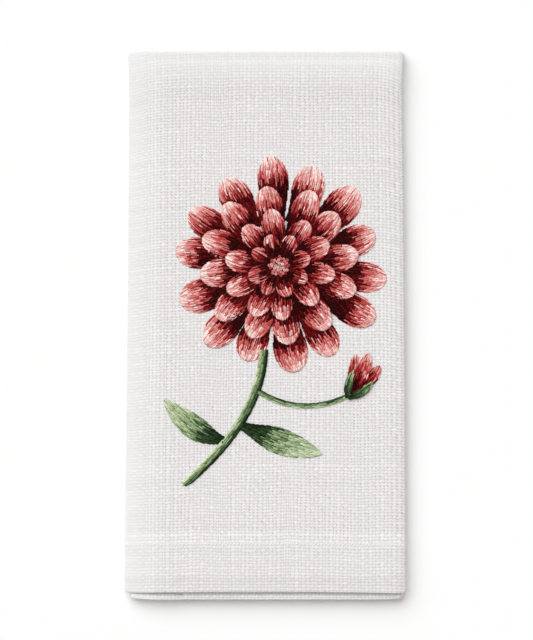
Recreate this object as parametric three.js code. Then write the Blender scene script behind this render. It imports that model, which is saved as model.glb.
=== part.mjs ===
// A hemmed linen napkin, lying folded: lengthwise in thirds, with both flaps tucked
// behind the front panel, and then crosswise in half, with the fold at the top.
//
// Millimetres. +X runs across the folded napkin, +Y towards its top fold, +Z up.
// The origin is on the surface that it lies on, under the middle of its outline.
//
// The cloth is one sheet. Each point of it has a column, which says where it is along
// the fold in thirds, and a row, which says where it is along the fold in half.
import * as THREE from "three";

// The cloth
const clothThickness = 1.0;
const hemThickness = 1.1; // the hem is turned under, so the cloth is thicker there
const layerGap = 0.3; // air between two layers
const hemDepth = 21.9; // from the hem's edge to its stitching
const hemStep = 7; // length over which the cloth thickens, up to the stitching

// The folded napkin. The left flap lies next to the front panel, and the right flap over it.
const foldedLength = 246.8; // from the top fold to the front hem's edge
const leftFlapShort = 3.2; // how far the left flap's edge stops short of the right fold
const rightFlapShort = 24; // how far the right flap's edge stops short of the left fold
const flapEdgeRoom = 1.0; // how far past the right flap's edge the cloth over it drops
const rightFoldDrop = 2; // layers that the front panel drops by round the right fold

// The outline of the front panel: how far down from the top fold, and its two sides.
const outline = [
  { down: 0, left: -63.0, right: 63.1 },
  { down: 16, left: -62.5, right: 62.5 },
  { down: 70, left: -62.8, right: 63.2 },
  { down: 150, left: -63.4, right: 63.9 },
  { down: 246.8, left: -64.4, right: 64.2 },
];
const backInset = { left: 2.4, right: 1.4 }; // the back half is this much narrower at its hem

// How far the hem of each layer stands out past the middle of the front hem. The front
// half is the shorter one, and its flaps nearly reach its hem.
const overhangs = {
  front: { panel: 0, leftFlap: 0.5, rightFlap: 0.9 },
  back: { panel: 2.7, leftFlap: 2.9, rightFlap: 3.1 },
};
const overhangRun = 12; // length beside a side fold over which a flap's hem drops
const hemArch = { left: 0.6, right: 0.8 }; // how much lower the front hem is at its ends

// Soft unevenness of the top surface, which the layers below share, down to the flat
// underside. The top fold springs up a little, and more so to the right. The right fold
// is pressed thinner than the rest.
const foldCrown = { heightLeft: 0.6, heightRight: 1.1, down: 9.5, spread: 13 };
const pressedEdge = { depth: 0.8, width: 9 };
const swellStart = 40; // below the top fold, how far it takes the swells to reach full height
const swells = [
  { height: 0.25, lengthX: 150, lengthY: 190, phaseX: 0.6, phaseY: 1.1 },
  { height: 0.14, lengthX: 71, lengthY: 104, phaseX: 2.4, phaseY: 0.3 },
];

// How finely the sheet is divided
const steps = { edge: 3, flat: 7, slope: 5, sideFold: 6, front: 9, topFold: 8, back: 4 };
const hemRows = [hemDepth + hemStep, hemDepth, 9, 1.4, 0]; // distances from the hem's edge
const crownRows = [6, 12, 19, 27, 38]; // distances from the top fold

const clothColour = 0xe9e6e4;

const { clamp, lerp, smoothstep } = THREE.MathUtils;
const rowThickness = (row) => lerp(clothThickness, hemThickness, row.hem);
const rowPitch = (row) => rowThickness(row) + layerGap;

// The two sides of the front panel, or of the back one, at a distance below the top fold.
function sidesAt(down, isBack) {
  const at = clamp(down, 0, foldedLength);
  const next = outline.findIndex((point, i) => i > 0 && at <= point.down);
  const [upper, lower] = [outline[next - 1], outline[next]];
  const share = (at - upper.down) / (lower.down - upper.down);
  const inset = isBack ? at / foldedLength : 0;
  return {
    left: lerp(upper.left, lower.left, share) + backInset.left * inset,
    right: lerp(upper.right, lower.right, share) - backInset.right * inset,
  };
}

// How many layers up the panel lies from the plane between the two halves. It drops
// from over both flaps to over the left one alone, steeper towards the left fold.
function panelLevel(x, down) {
  const { left } = sidesAt(down, false);
  const slopeEnd = left + rightFlapShort - flapEdgeRoom;
  const share = clamp((slopeEnd - x) / (slopeEnd - left), 0, 1);
  return 2.5 - share * share;
}

// The columns from the left flap's edge, round the left fold, across the front panel,
// round the right fold and on to the right flap's edge.
function makeColumns() {
  const columns = [];
  const add = (part, count, last = 0) => {
    for (let i = 0; i < count + last; i++) columns.push({ part, share: i / count });
  };
  add("leftFlapEdge", steps.edge);
  add("leftFlap", steps.flat);
  add("leftFlapSlope", steps.slope);
  add("leftFold", steps.sideFold);
  add("panelSlope", steps.slope);
  add("panel", steps.flat);
  add("panelEdge", steps.edge);
  add("rightFold", steps.sideFold);
  add("rightFlapEdge", steps.edge);
  add("rightFlap", steps.flat, 1);
  return columns;
}

// How far below the top fold the rows of one half lie, from the fold to the hem.
function rowDistances(count) {
  const distances = [...crownRows];
  const hemTop = foldedLength - hemRows[0];
  for (let i = 1; i < count; i++) {
    distances.push(lerp(crownRows.at(-1), hemTop, i / count));
  }
  return [...distances, ...hemRows.map((fromHem) => foldedLength - fromHem)];
}

// The rows from the front hem, over the top fold, to the back hem. A flat row says which
// half it is in and how far down it lies; a row in the top fold says its angle.
function makeRows() {
  const flat = (isBack) => (down) => {
    const fromHem = foldedLength - down;
    return { isBack, down, hem: 1 - smoothstep(fromHem, hemDepth, hemDepth + hemStep) };
  };
  const fold = [];
  for (let i = 0; i <= steps.topFold; i++) {
    fold.push({ angle: Math.PI * (0.5 - i / steps.topFold), down: 0, hem: 0 });
  }
  const front = rowDistances(steps.front).map(flat(false)).reverse();
  return [...front, ...fold, ...rowDistances(steps.back).map(flat(true))];
}

// One column of the cross-section: x, its height above the plane between the halves, and
// the way out of the sheet's outer face.
function sectionPoint(column, row) {
  const sides = sidesAt(row.down, row.isBack);
  const pitch = rowPitch(row);
  const leftRadius = pitch / 2;
  const rightRadius = (pitch * rightFoldDrop) / 2;
  const leftFold = sides.left + leftRadius + rowThickness(row) / 2;
  const rightFold = sides.right - rightRadius - rowThickness(row) / 2;
  const slopeEnd = sides.left + rightFlapShort - flapEdgeRoom;
  const edgeStart = sides.right - pressedEdge.width;
  const round = (centre, radius, level, angle) => ({
    x: centre + radius * Math.cos(angle),
    height: level * pitch + radius * Math.sin(angle),
    outX: Math.cos(angle),
    outUp: Math.sin(angle),
  });
  if (column.part === "leftFold") {
    const level = panelLevel(leftFold, row.down) - 0.5;
    return round(leftFold, leftRadius, level, Math.PI * (1.5 - column.share));
  }
  if (column.part === "rightFold") {
    return round(rightFold, rightRadius, 1.5, Math.PI * (0.5 - column.share));
  }
  const spans = {
    leftFlapEdge: [sides.right - leftFlapShort, edgeStart],
    leftFlap: [edgeStart, slopeEnd],
    leftFlapSlope: [slopeEnd, leftFold],
    panelSlope: [leftFold, slopeEnd],
    panel: [slopeEnd, edgeStart],
    panelEdge: [edgeStart, rightFold],
    rightFlapEdge: [rightFold, edgeStart],
    rightFlap: [edgeStart, sides.left + rightFlapShort],
  };
  const x = lerp(...spans[column.part], column.share);
  const flat = (level, out) => ({ x, height: level * pitch, outX: 0, outUp: out });
  if (column.part.startsWith("rightFlap")) return flat(0.5, -1);
  if (column.part.startsWith("leftFlap")) return flat(panelLevel(x, row.down) - 1, -1);
  return flat(panelLevel(x, row.down), 1);
}

// How much lower than the middle of the front hem this column's hem lies.
function overhang(column, x, row) {
  const sides = sidesAt(foldedLength, row.isBack);
  const half = row.isBack ? overhangs.back : overhangs.front;
  const arch = x < 0 ? hemArch.left * (x / sides.left) ** 2 : hemArch.right * (x / sides.right) ** 2;
  const panel = half.panel + (row.isBack ? 0 : arch);
  const inFromLeft = smoothstep(x - sides.left, 0, overhangRun);
  const inFromRight = smoothstep(sides.right - x, 0, overhangRun);
  if (column.part.startsWith("leftFlap")) return lerp(panel, half.leftFlap, inFromLeft);
  if (column.part.startsWith("rightFlap")) return lerp(panel, half.rightFlap, inFromRight);
  return panel;
}

// The unevenness of the top surface.
function unevenness(x, down) {
  const { left, right } = sidesAt(down, false);
  const away = (down - foldCrown.down) / foldCrown.spread;
  const toRight = smoothstep(x, left, right);
  const crown = lerp(foldCrown.heightLeft, foldCrown.heightRight, toRight) * Math.exp(-away * away);
  const pressed = pressedEdge.depth * smoothstep(x, right - pressedEdge.width, right);
  const waves = swells.map(
    ({ height, lengthX, lengthY, phaseX, phaseY }) =>
      height *
      Math.sin((x / lengthX) * 2 * Math.PI + phaseX) *
      Math.sin((down / lengthY) * 2 * Math.PI + phaseY),
  );
  const swell = smoothstep(down, 0, swellStart) * waves.reduce((sum, wave) => sum + wave, 0);
  return crown - pressed + swell;
}

// A point of the sheet's outer face (face = 1) or inner face (face = -1).
function sheetPoint(column, row, face) {
  const thickness = rowThickness(row);
  const at = sectionPoint(column, row);
  const x = at.x + (face * at.outX * thickness) / 2;
  const height = at.height + (face * at.outUp * thickness) / 2;
  const halfHeight = panelLevel(x, row.down) * rowPitch(row) + thickness / 2;
  const stretch = 1 + unevenness(x, row.down) / (2 * halfHeight);
  if ("angle" in row) {
    const y = foldedLength - halfHeight + height * Math.cos(row.angle);
    return [x, y, (halfHeight + height * Math.sin(row.angle)) * stretch];
  }
  const share = row.down / foldedLength;
  const y = foldedLength - row.down - share * overhang(column, at.x, row);
  return [x, y, (row.isBack ? halfHeight - height : halfHeight + height) * stretch];
}

// The closed surface of the sheet: two faces and the rim that joins them.
function makeSheet() {
  const columns = makeColumns();
  const rows = makeRows();
  const across = columns.length;
  const along = rows.length;
  const positions = [];
  for (const face of [1, -1]) {
    for (const row of rows) {
      for (const column of columns) positions.push(...sheetPoint(column, row, face));
    }
  }
  const outer = (i, j) => j * across + i;
  const inner = (i, j) => across * along + outer(i, j);
  const triangles = [];
  const quad = (a, b, c, d) => triangles.push(a, b, c, a, c, d);
  for (let j = 0; j < along - 1; j++) {
    for (let i = 0; i < across - 1; i++) {
      quad(outer(i, j), outer(i + 1, j), outer(i + 1, j + 1), outer(i, j + 1));
      quad(inner(i, j), inner(i, j + 1), inner(i + 1, j + 1), inner(i + 1, j));
    }
  }
  for (let i = 0; i < across - 1; i++) {
    const last = along - 1;
    quad(outer(i + 1, 0), outer(i, 0), inner(i, 0), inner(i + 1, 0));
    quad(outer(i, last), outer(i + 1, last), inner(i + 1, last), inner(i, last));
  }
  for (let j = 0; j < along - 1; j++) {
    const last = across - 1;
    quad(outer(0, j), outer(0, j + 1), inner(0, j + 1), inner(0, j));
    quad(outer(last, j + 1), outer(last, j), inner(last, j), inner(last, j + 1));
  }
  const geometry = new THREE.BufferGeometry();
  geometry.setAttribute("position", new THREE.Float32BufferAttribute(positions, 3));
  geometry.setIndex(triangles);
  return geometry;
}

// Puts the middle of the outline over the origin and the underside on the ground.
function setDown(geometry) {
  geometry.computeBoundingBox();
  const { min, max } = geometry.boundingBox;
  geometry.translate(-(min.x + max.x) / 2, -(min.y + max.y) / 2, -min.z);
  geometry.computeVertexNormals();
  return geometry;
}

const linen = new THREE.MeshStandardMaterial({
  color: clothColour,
  roughness: 0.9,
  metalness: 0,
});
const sheet = new THREE.Mesh(setDown(makeSheet()), linen);
sheet.name = "napkin_cloth";

const napkin = new THREE.Group();
napkin.add(sheet);
export default napkin;
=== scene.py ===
"""A white linen napkin, lying folded, with an embroidered flower on its front panel.

The cloth is one hemmed sheet. It is folded lengthwise in thirds, with both flaps behind the
front panel, and then crosswise in half, with the fold at the top. Lengths are millimetres
until a mesh is made. A place on the front panel is (x, down): x to the right of its middle,
and down from the top fold.
"""

import math
from functools import partial

import bpy
import numpy as np
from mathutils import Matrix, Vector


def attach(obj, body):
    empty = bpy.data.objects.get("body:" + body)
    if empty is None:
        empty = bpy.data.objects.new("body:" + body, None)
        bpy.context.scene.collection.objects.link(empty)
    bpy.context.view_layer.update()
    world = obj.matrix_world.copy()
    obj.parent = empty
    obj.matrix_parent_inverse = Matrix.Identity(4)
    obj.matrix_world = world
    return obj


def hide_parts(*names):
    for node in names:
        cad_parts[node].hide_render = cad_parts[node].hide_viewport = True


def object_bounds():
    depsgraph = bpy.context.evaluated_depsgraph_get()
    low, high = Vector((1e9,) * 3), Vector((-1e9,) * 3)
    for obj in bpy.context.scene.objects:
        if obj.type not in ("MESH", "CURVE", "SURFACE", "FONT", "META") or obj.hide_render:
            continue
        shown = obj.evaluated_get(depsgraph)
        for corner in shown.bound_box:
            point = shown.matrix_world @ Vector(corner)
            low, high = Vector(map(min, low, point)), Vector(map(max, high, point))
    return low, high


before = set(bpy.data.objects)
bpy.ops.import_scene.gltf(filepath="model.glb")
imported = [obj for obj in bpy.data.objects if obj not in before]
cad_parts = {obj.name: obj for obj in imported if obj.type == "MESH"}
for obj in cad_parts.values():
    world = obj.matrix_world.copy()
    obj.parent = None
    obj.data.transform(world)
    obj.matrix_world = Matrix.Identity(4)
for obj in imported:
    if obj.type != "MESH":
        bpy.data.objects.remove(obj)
CAD_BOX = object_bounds()
MM = 0.001
NODE = "napkin_cloth"

# The cloth
CLOTH = 1.0
HEM_CLOTH = 1.1
LAYER_GAP = 0.3
HEM_DEPTH = 21.9
HEM_STEP = 7.0  # over which the cloth thickens into the hem
WARP_PITCH = 1.67
WEFT_PITCH = 1.37

# The folds
PARTS = LEFT_FLAP, LEFT_FOLD, PANEL, RIGHT_FOLD, RIGHT_FLAP = range(5)
FOLDED_LENGTH = 246.8
LAST_ROW = FOLDED_LENGTH - HEM_CLOTH / 2  # where a hem starts to turn round its edge
LEFT_FLAP_SHORT = 3.2  # how far short of the other side the left flap ends
RIGHT_FLAP_SHORT = 24.0  # and the right flap
FLAP_EDGE_ROOM = 1.0  # past the right flap's edge, where the panel over it starts to drop
RIGHT_FOLD_DROP = 2  # layers down from the front panel to the right flap
OUTLINE = {
    "down": (0, 16, 70, 150, 246.8),
    "left": (-63.0, -62.5, -62.8, -63.4, -64.4),
    "right": (63.1, 62.5, 63.2, 63.9, 64.2),
}
BACK_INSET = {"left": 2.1, "right": 1.4}  # how much narrower the back half's hem is
OVERHANG = {  # how far each layer's hem stands out past the middle of the front one
    "front": {PANEL: 0.0, LEFT_FLAP: 0.5, RIGHT_FLAP: 0.9},
    "back": {PANEL: 3.3, LEFT_FLAP: 3.8, RIGHT_FLAP: 3.7},
}
OVERHANG_RUN = 12.0  # from a side fold to where a flap's hem stands out in full
HEM_ARCH = {"left": 0.6, "right": 0.8}  # how much lower the front hem is at its ends

# The pressed edges and corners
FOLD_PRESS = 0.19  # under 1, the top fold is squarer than a round one
FOLD_OUT = 0.8  # and how much further it stands out
CORNER = {"top_radius": 2.3, "hem_radius": 1.5, "reach": 10.0}
HEM_PRESS = {"depth": 0.8, "run": 9.0}  # how far the whole stack is pressed down at the hems
BACK_RISE = {"height": 1.0, "run": 14.0}  # the back hem lies looser, the front one tighter
BACK_CURL = {"height": 0.9, "run": 5.0}  # how far the back half lifts off the floor at its hem
GAP_CLOSES = {"layers": 1.5, "across": 1.5, "along": 9.0}  # beside the right flap, at the hem

# The unevenness of the top surface, which springs up below the top fold and sinks at the sides
FOLD_CROWN = {"left": 0.6, "right": 1.1, "down": 9.5, "spread": 13.0}
PRESSED_EDGE = {"left": 0.7, "right": 1.1, "width": 9.0}
SWELL_START = 40.0  # below the top fold, where the swells reach their full height
SWELLS = (
    {"height": 0.25, "length_x": 150, "length_y": 190, "phase_x": 0.6, "phase_y": 1.1},
    {"height": 0.14, "length_x": 71, "length_y": 104, "phase_x": 2.4, "phase_y": 0.3},
)

# The weave and the seam on the mesh
WEFT_GAP = 0.05  # how deep the cloth dips between two weft threads
WARP_GAP = 0.01  # and between two warp threads
CELL_PIT = 0.07  # and how much deeper where two such gaps cross
THREAD_RELIEF = 0.02  # how much single threads differ in height
# How far the side folds draw the weft down, over which share of the panel, and how that fades
PULL = {LEFT_FOLD: {"drop": 3.7, "reach": 0.108}, RIGHT_FOLD: {"drop": 2.5, "reach": 0.043}}
PULL_FADE = {"down": (0, 25, 65, 140, 185, 240), "share": (1, 1, 0.65, 0.35, 0.05, -0.1)}
FIRST_ROW = 5.0  # below the top fold, where the flat rows start
FOLD_ARC = 3.75  # outer radius of the top fold
WARPS = 76  # across the front panel
WEFTS = 176  # from the hem's edge to the first row
SPARE_WARPS = 8  # past the panel, round the right fold
SPARE_WEFTS = 20  # past the first row, round the top fold
FOLD_MIDDLE = 182.3  # weft threads from the front hem's edge to the middle of the top fold
SEAM_PLACE = 166.8  # and from there to either hem's seam
EDGE_STEPS = 4  # rows round a hem's edge
ROUND = 6  # points round a thread

# The hem's stitches
SEAM = {"pitch": 1.65, "stitch": 1.75, "slant": 38, "width": 0.5, "height": 0.14}

# The embroidery
LANE = 0.45  # from one thread to the next
THREAD = {"width": 0.56, "height": 0.36}
OVERLAP = 0.6  # of the two stitches that follow each other in a lane
TOOTH = 4.5  # how far the place where a colour changes wanders from lane to lane
REDS = ("#2e0102", "#5c090b", "#902223", "#ba4c4b", "#d27c78", "#e6ada7", "#f8e0db")
GREENS = ("#18280f", "#2f4529", "#4c6641", "#70875f", "#95a87d", "#b4c19b", "#d0d9b9")
BLOOM = (6.0, 98.0)
RINGS = (  # of petals, from the outermost in
    {"count": 14, "inner": 20, "outer": 49, "half": 7.4, "base": 0.1, "turn": 0.1},
    {"count": 12, "inner": 10, "outer": 37.5, "half": 6.4, "base": 0.5, "turn": 0.36},
    {"count": 10, "inner": 4, "outer": 26, "half": 5.2, "base": 0.9, "turn": 0.2},
    {"count": 8, "inner": 2, "outer": 15, "half": 3.8, "base": 1.3, "turn": 0.5},
)
RING_TONES = (  # shares of a petal's length, and the tone at each
    ((0, 0.56, 0.6, 0.72, 0.84, 1), (0.2, 0.6, 2.6, 3.7, 4.9, 5.6)),
    ((0, 0.54, 0.58, 0.72, 0.84, 1), (0.1, 0.5, 2.5, 3.6, 4.9, 5.6)),
    ((0, 0.52, 0.57, 0.72, 0.86, 1), (0.0, 0.4, 2.4, 3.5, 4.7, 5.5)),
    ((0, 0.5, 0.57, 0.8, 1), (0.0, 0.3, 2.2, 3.4, 5.0)),
)

# Where the front panel lies in the frame
SHIFT_X = CAD_BOX[1].x / MM - max(OUTLINE["right"])
SHIFT_Y = CAD_BOX[1].y / MM - FOLDED_LENGTH

# The picture
PICTURE_SIZE = (533, 640)
MM_PER_PIXEL = 0.4567
PICTURE_CENTRE = (0.3, 2.4)  # the point of the frame in the middle of the picture
CAMERA_DISTANCE = 3500


def smooth(value, low, high):
    """0 below low, 1 above high and an even curve between them."""
    share = np.clip((value - low) / (high - low), 0, 1)
    return share * share * (3 - 2 * share)


def mix(start, end, share):
    return start + (end - start) * share


def joined(*values):
    """One array with these values side by side on its last axis."""
    return np.stack(np.broadcast_arrays(*values), axis=-1)


def linear(hex_colour):
    """A colour's linear values from its sRGB hex value."""
    srgb = [int(hex_colour[i : i + 2], 16) / 255 for i in (1, 3, 5)]
    return [*(((c + 0.055) / 1.055) ** 2.4 if c > 0.04045 else c / 12.92 for c in srgb), 1.0]


# The folded form

def in_frame(x, y, z):
    """Points in the frame, from places on the napkin with y up from its hem."""
    return joined(x + SHIFT_X, y + SHIFT_Y, z)


def near_hem(down, run):
    """1 at a hem's edge and 0 at this distance from it."""
    return smooth(FOLDED_LENGTH - down, run, 0)


def by_part(part, values):
    """Each column's value, from one for each of PARTS."""
    return np.select([part == i for i in PARTS], values)


def sides_at(down, is_back):
    """The left and right side of the front or back panel."""
    inset = np.where(is_back, np.clip(down, 0, FOLDED_LENGTH) / FOLDED_LENGTH, 0)
    left = np.interp(down, OUTLINE["down"], OUTLINE["left"]) + BACK_INSET["left"] * inset
    right = np.interp(down, OUTLINE["down"], OUTLINE["right"]) - BACK_INSET["right"] * inset
    return left, right


def panel_level(x, down):
    """How many layers up the panel lies from the plane between the two halves."""
    left = sides_at(down, False)[0]
    slope_end = left + RIGHT_FLAP_SHORT - FLAP_EDGE_ROOM
    share = np.clip((slope_end - x) / (slope_end - left), 0, 1)
    return 2.5 - share * share


def unevenness(x, down):
    """How far the top surface stands over or under its even height."""
    left, right = sides_at(down, False)
    away = (down - FOLD_CROWN["down"]) / FOLD_CROWN["spread"]
    crown = mix(FOLD_CROWN["left"], FOLD_CROWN["right"], smooth(x, left, right))
    pressed = HEM_PRESS["depth"] * near_hem(down, HEM_PRESS["run"])
    for side, past in (("left", left - x), ("right", x - right)):
        to_edge = np.clip(past / PRESSED_EDGE["width"] + 1, 0, 1)
        pressed = pressed + PRESSED_EDGE[side] * to_edge**2
    swell = 0
    for wave in SWELLS:
        across = np.sin(x / wave["length_x"] * 2 * np.pi + wave["phase_x"])
        along = np.sin(down / wave["length_y"] * 2 * np.pi + wave["phase_y"])
        swell = swell + wave["height"] * across * along
    return crown * np.exp(-away * away) - pressed + smooth(down, 0, SWELL_START) * swell


def corner_inset(x, from_end, radius, left, right):
    """How far a place beside a side and near a hem or the top fold moves to the right, so that
    the corner there is round."""
    inset = radius - np.sqrt(radius**2 - (radius - np.clip(from_end, 0, radius)) ** 2)
    at_left = smooth(x, left + CORNER["reach"], left)
    at_right = smooth(x, right - CORNER["reach"], right)
    return inset * (at_left - at_right)


def closed_gap(x, down):
    """How much the back half's layers rise at the hem, left of the right flap's edge, where
    the two halves are a flap apart."""
    edge = sides_at(down, False)[0] + RIGHT_FLAP_SHORT - FLAP_EDGE_ROOM
    layers = GAP_CLOSES["layers"] * (panel_level(x, down) - 1.5)
    beside_flap = smooth(x, edge, edge - GAP_CLOSES["across"])
    gap = layers * (thickness_at(down) + LAYER_GAP)
    return gap * beside_flap * near_hem(down, GAP_CLOSES["along"])


def thickness_at(down):
    hem = 1 - smooth(FOLDED_LENGTH - down, HEM_DEPTH, HEM_DEPTH + HEM_STEP)
    return mix(CLOTH, HEM_CLOTH, hem)


def hem_arch(x, left, right):
    """How much lower than its middle the front hem lies."""
    return np.where(x < 0, HEM_ARCH["left"] * (x / left) ** 2, HEM_ARCH["right"] * (x / right) ** 2)


def overhang(part, x, is_back):
    """How much lower than the middle of the front hem each column's hem lies."""
    left, right = sides_at(FOLDED_LENGTH, is_back)
    front, back = OVERHANG["front"], OVERHANG["back"]
    panel = np.where(is_back, back[PANEL], front[PANEL] + hem_arch(x, left, right))
    drop = panel
    for flap, away in ((LEFT_FLAP, x - left), (RIGHT_FLAP, right - x)):
        lowest = np.where(is_back, back[flap], front[flap])
        lower = mix(panel, lowest, smooth(away, 0, OVERHANG_RUN))
        drop = np.where(part == flap, lower, drop)
    return drop


def section(part, share, down, is_back):
    """Where each column lies in the fold in thirds: x, its height over the plane between the
    two halves, and the outer face's way out, to the side and up."""
    left, right = sides_at(down, is_back)
    thickness = thickness_at(down)
    pitch = thickness + LAYER_GAP
    left_radius, right_radius = pitch / 2, pitch * RIGHT_FOLD_DROP / 2
    left_fold = left + left_radius + thickness / 2
    right_fold = right - right_radius - thickness / 2
    flat_x = (
        mix(right - LEFT_FLAP_SHORT, left_fold, share),
        left_fold,
        mix(left_fold, right_fold, share),
        right_fold,
        mix(right_fold, left + RIGHT_FLAP_SHORT, share),
    )
    x = by_part(part, flat_x)
    over = panel_level(x, down)
    level = by_part(part, (over - 1, over - 0.5, over, 1.5, 0.5))
    angle = np.pi * by_part(part, (-0.5, 1.5 - share, 0.5, 0.5 - share, -0.5))
    radius = by_part(part, (0, left_radius, 0, right_radius, 0))
    side = np.where(radius > 0, np.cos(angle), 0)
    up = np.sin(angle)
    return x + radius * side, level * pitch + radius * up, side, up


def sheet_points(columns, rows, raised=0.0):
    """The points of columns and rows on the sheet. raised moves them out of its outer face."""
    down, is_back = rows["down"], rows["is_back"]
    at_x, height, side, up = section(columns["part"], columns["share"], down, is_back)
    thickness = thickness_at(down)
    reach = rows["face"] * thickness / 2 + raised
    x = at_x + reach * side
    height = height + reach * up
    half = panel_level(x, down) * (thickness + LAYER_GAP) + thickness / 2
    stretch = 1 + unevenness(x, down) / (2 * half)
    ahead, above = np.cos(rows["angle"]), np.sin(rows["angle"])
    fold_y = FOLDED_LENGTH - half + height * (1 + FOLD_OUT / half) * np.abs(ahead) ** FOLD_PRESS
    fold_z = half + height * np.sign(above) * np.abs(above) ** FOLD_PRESS
    drop = down / FOLDED_LENGTH * overhang(columns["part"], at_x, is_back)
    from_hem = FOLDED_LENGTH - down - rows["past_edge"] * thickness / 2
    y = np.where(rows["in_fold"], fold_y, from_hem - drop)
    back_z = half - height + closed_gap(at_x, down) * (columns["part"] != RIGHT_FLAP)
    z = np.where(rows["in_fold"], fold_z, np.where(is_back, back_z, half + height))
    rise = BACK_RISE["height"] * near_hem(down, BACK_RISE["run"])
    curl = BACK_CURL["height"] * near_hem(down, BACK_CURL["run"]) * is_back
    z = z * stretch + rise * np.minimum(z, 2 * half - z) / half + curl
    from_top = FOLD_OUT + np.where(rows["in_fold"], FOLDED_LENGTH - fold_y, down)
    sides = sides_at(down, is_back)
    at_top = corner_inset(x, from_top, CORNER["top_radius"], *sides)
    x = x + at_top + corner_inset(x, from_hem, CORNER["hem_radius"], *sides)
    return in_frame(x, y, z)


def panel_point(x, down, lift=0.0):
    """A point over the front panel's surface."""
    left, right = sides_at(FOLDED_LENGTH, False)
    thickness = thickness_at(down)
    full = 2 * (panel_level(x, down) * (thickness + LAYER_GAP) + thickness / 2)
    y = FOLDED_LENGTH - down - down / FOLDED_LENGTH * hem_arch(x, left, right)
    z = full + unevenness(x, down) + lift
    return in_frame(x, y, z)


# The sheet's columns and rows

def eased(count):
    """Shares from 0 up to 1, without 1 itself, closer together at both ends."""
    return (1 - np.cos(np.pi * np.arange(count) / count)) / 2


def even(count):
    return np.arange(count) / count


def thread_lines(rng, count, spread):
    """Shares of the threads' sides and middles, with threads of uneven width."""
    widths = np.clip(rng.normal(1, spread, count), 0.6, 1.5)
    lines = np.concatenate([[0], np.cumsum(widths)]) / widths.sum()
    shares = np.zeros(2 * count + 1)
    shares[::2] = lines
    shares[1::2] = (lines[:-1] + lines[1:]) / 2
    return shares


def make_columns(*spans):
    """Columns from each part's shares, in the order of PARTS."""
    part = np.concatenate([np.full(len(shares), i) for i, shares in enumerate(spans)])
    return {"part": part[None, :], "share": np.concatenate(spans)[None, :]}


def warp_places(columns, warp_lines):
    """Each column's place across the cloth, in warp threads from the panel's left side."""
    share = columns["share"]
    width = OUTLINE["right"][2] - OUTLINE["left"][2]
    left_arc = np.pi * (LAYER_GAP / 2 + CLOTH) / WARP_PITCH
    right_arc = np.pi * (LAYER_GAP + 1.5 * CLOTH) / WARP_PITCH
    left_flap = (width - LEFT_FLAP_SHORT) / WARP_PITCH
    right_flap = (width - RIGHT_FLAP_SHORT) / WARP_PITCH
    places = (
        -left_arc - (1 - share) * left_flap,
        -(1 - share) * left_arc,
        np.interp(share, warp_lines, np.arange(len(warp_lines)) / 2),
        WARPS + share * right_arc,
        WARPS + right_arc + share * right_flap,
    )
    return by_part(columns["part"], places)


def make_row(down, is_back=False, face=1.0, past_edge=0.0, angle=None):
    """A row of the sheet. Rows in the top fold have an angle."""
    place = {"down": down, "is_back": is_back, "face": face, "past_edge": past_edge}
    return {**place, "angle": angle or 0.0, "in_fold": angle is not None}


def stack_rows(rows):
    return {key: np.array([row[key] for row in rows])[:, None] for key in rows[0]}


def hem_edge(is_back):
    """Rows that turn round a hem's edge, from the inner face to the outer."""
    angles = np.pi * (1 - np.arange(1, EDGE_STEPS + 1) / (EDGE_STEPS + 1))
    return [make_row(LAST_ROW, is_back, math.cos(a), math.sin(a)) for a in angles]


def pressed_turn():
    """Angles round the top fold, from the front to the back, and how far along its pressed
    curve each lies, for an outer radius of 1."""
    angles = np.linspace(np.pi / 2, -np.pi / 2, 20001)
    ahead = np.cos(angles) ** FOLD_PRESS * (1 + FOLD_OUT / FOLD_ARC)
    above = np.sign(angles) * np.abs(np.sin(angles)) ** FOLD_PRESS
    return angles, np.append(0, np.cumsum(np.hypot(np.diff(ahead), np.diff(above))))


def fold_turn(count):
    """Angles at even steps along the pressed curve, and their places in weft threads from
    the front hem."""
    angles, run = pressed_turn()
    start = WEFTS + (FIRST_ROW - FOLD_ARC) / WEFT_PITCH
    places = np.linspace(start, start + run[-1] * FOLD_ARC / WEFT_PITCH, count)
    return np.interp(np.linspace(0, run[-1], count), run, angles), places


def coarse_distances():
    """Distances below the top fold of the coarser rows, closer together at the hem."""
    seam = FOLDED_LENGTH - HEM_DEPTH
    at_hem = [LAST_ROW - away for away in (9, 6, 4, 3, 2, 1.3, 0.7, 0)]
    return [5, 9, 14, 20, 28, 38, *np.linspace(52, seam - HEM_STEP, 10), seam - 3, seam, *at_hem]


def face_rows(front_at, fold_steps, face):
    """The rows of one face of the sheet, from the front hem to the back one. With them are the
    places of those in the top fold and how far past it the ones behind it lie, both in weft
    threads."""
    back_at = coarse_distances()
    angles, fold_places = fold_turn(fold_steps)
    rows = [make_row(down, face=face) for down in front_at]
    rows += [make_row(0.0, face=face, angle=angle) for angle in angles]
    rows += [make_row(down, is_back=True, face=face) for down in back_at]
    return rows, fold_places, (np.array(back_at) - FOLD_ARC) / WEFT_PITCH


def outer_rows(weft_lines):
    """The rows of the outer face, with each row's place in weft threads from the front hem."""
    rows, fold_places, away = face_rows(mix(LAST_ROW, FIRST_ROW, weft_lines), 18, 1.0)
    edge = np.arange(1, EDGE_STEPS + 1) / EDGE_STEPS
    front_places = np.arange(len(weft_lines)) / 2
    back_places = fold_places[-1] + away
    places = (-edge[::-1], front_places, fold_places, back_places, back_places[-1] + edge)
    rows = [*hem_edge(False), *rows, *hem_edge(True)[::-1]]
    return stack_rows(rows), np.concatenate(places)[:, None]


def inner_rows():
    """The rows of the inner face, which only shows at the hems' edges, and their places."""
    rows, fold_places, away = face_rows(coarse_distances()[::-1], 11, -1.0)
    places = (fold_places[0] - away[::-1], fold_places, fold_places[-1] + away)
    return stack_rows(rows), np.concatenate(places)[:, None]


# Meshes

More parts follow.
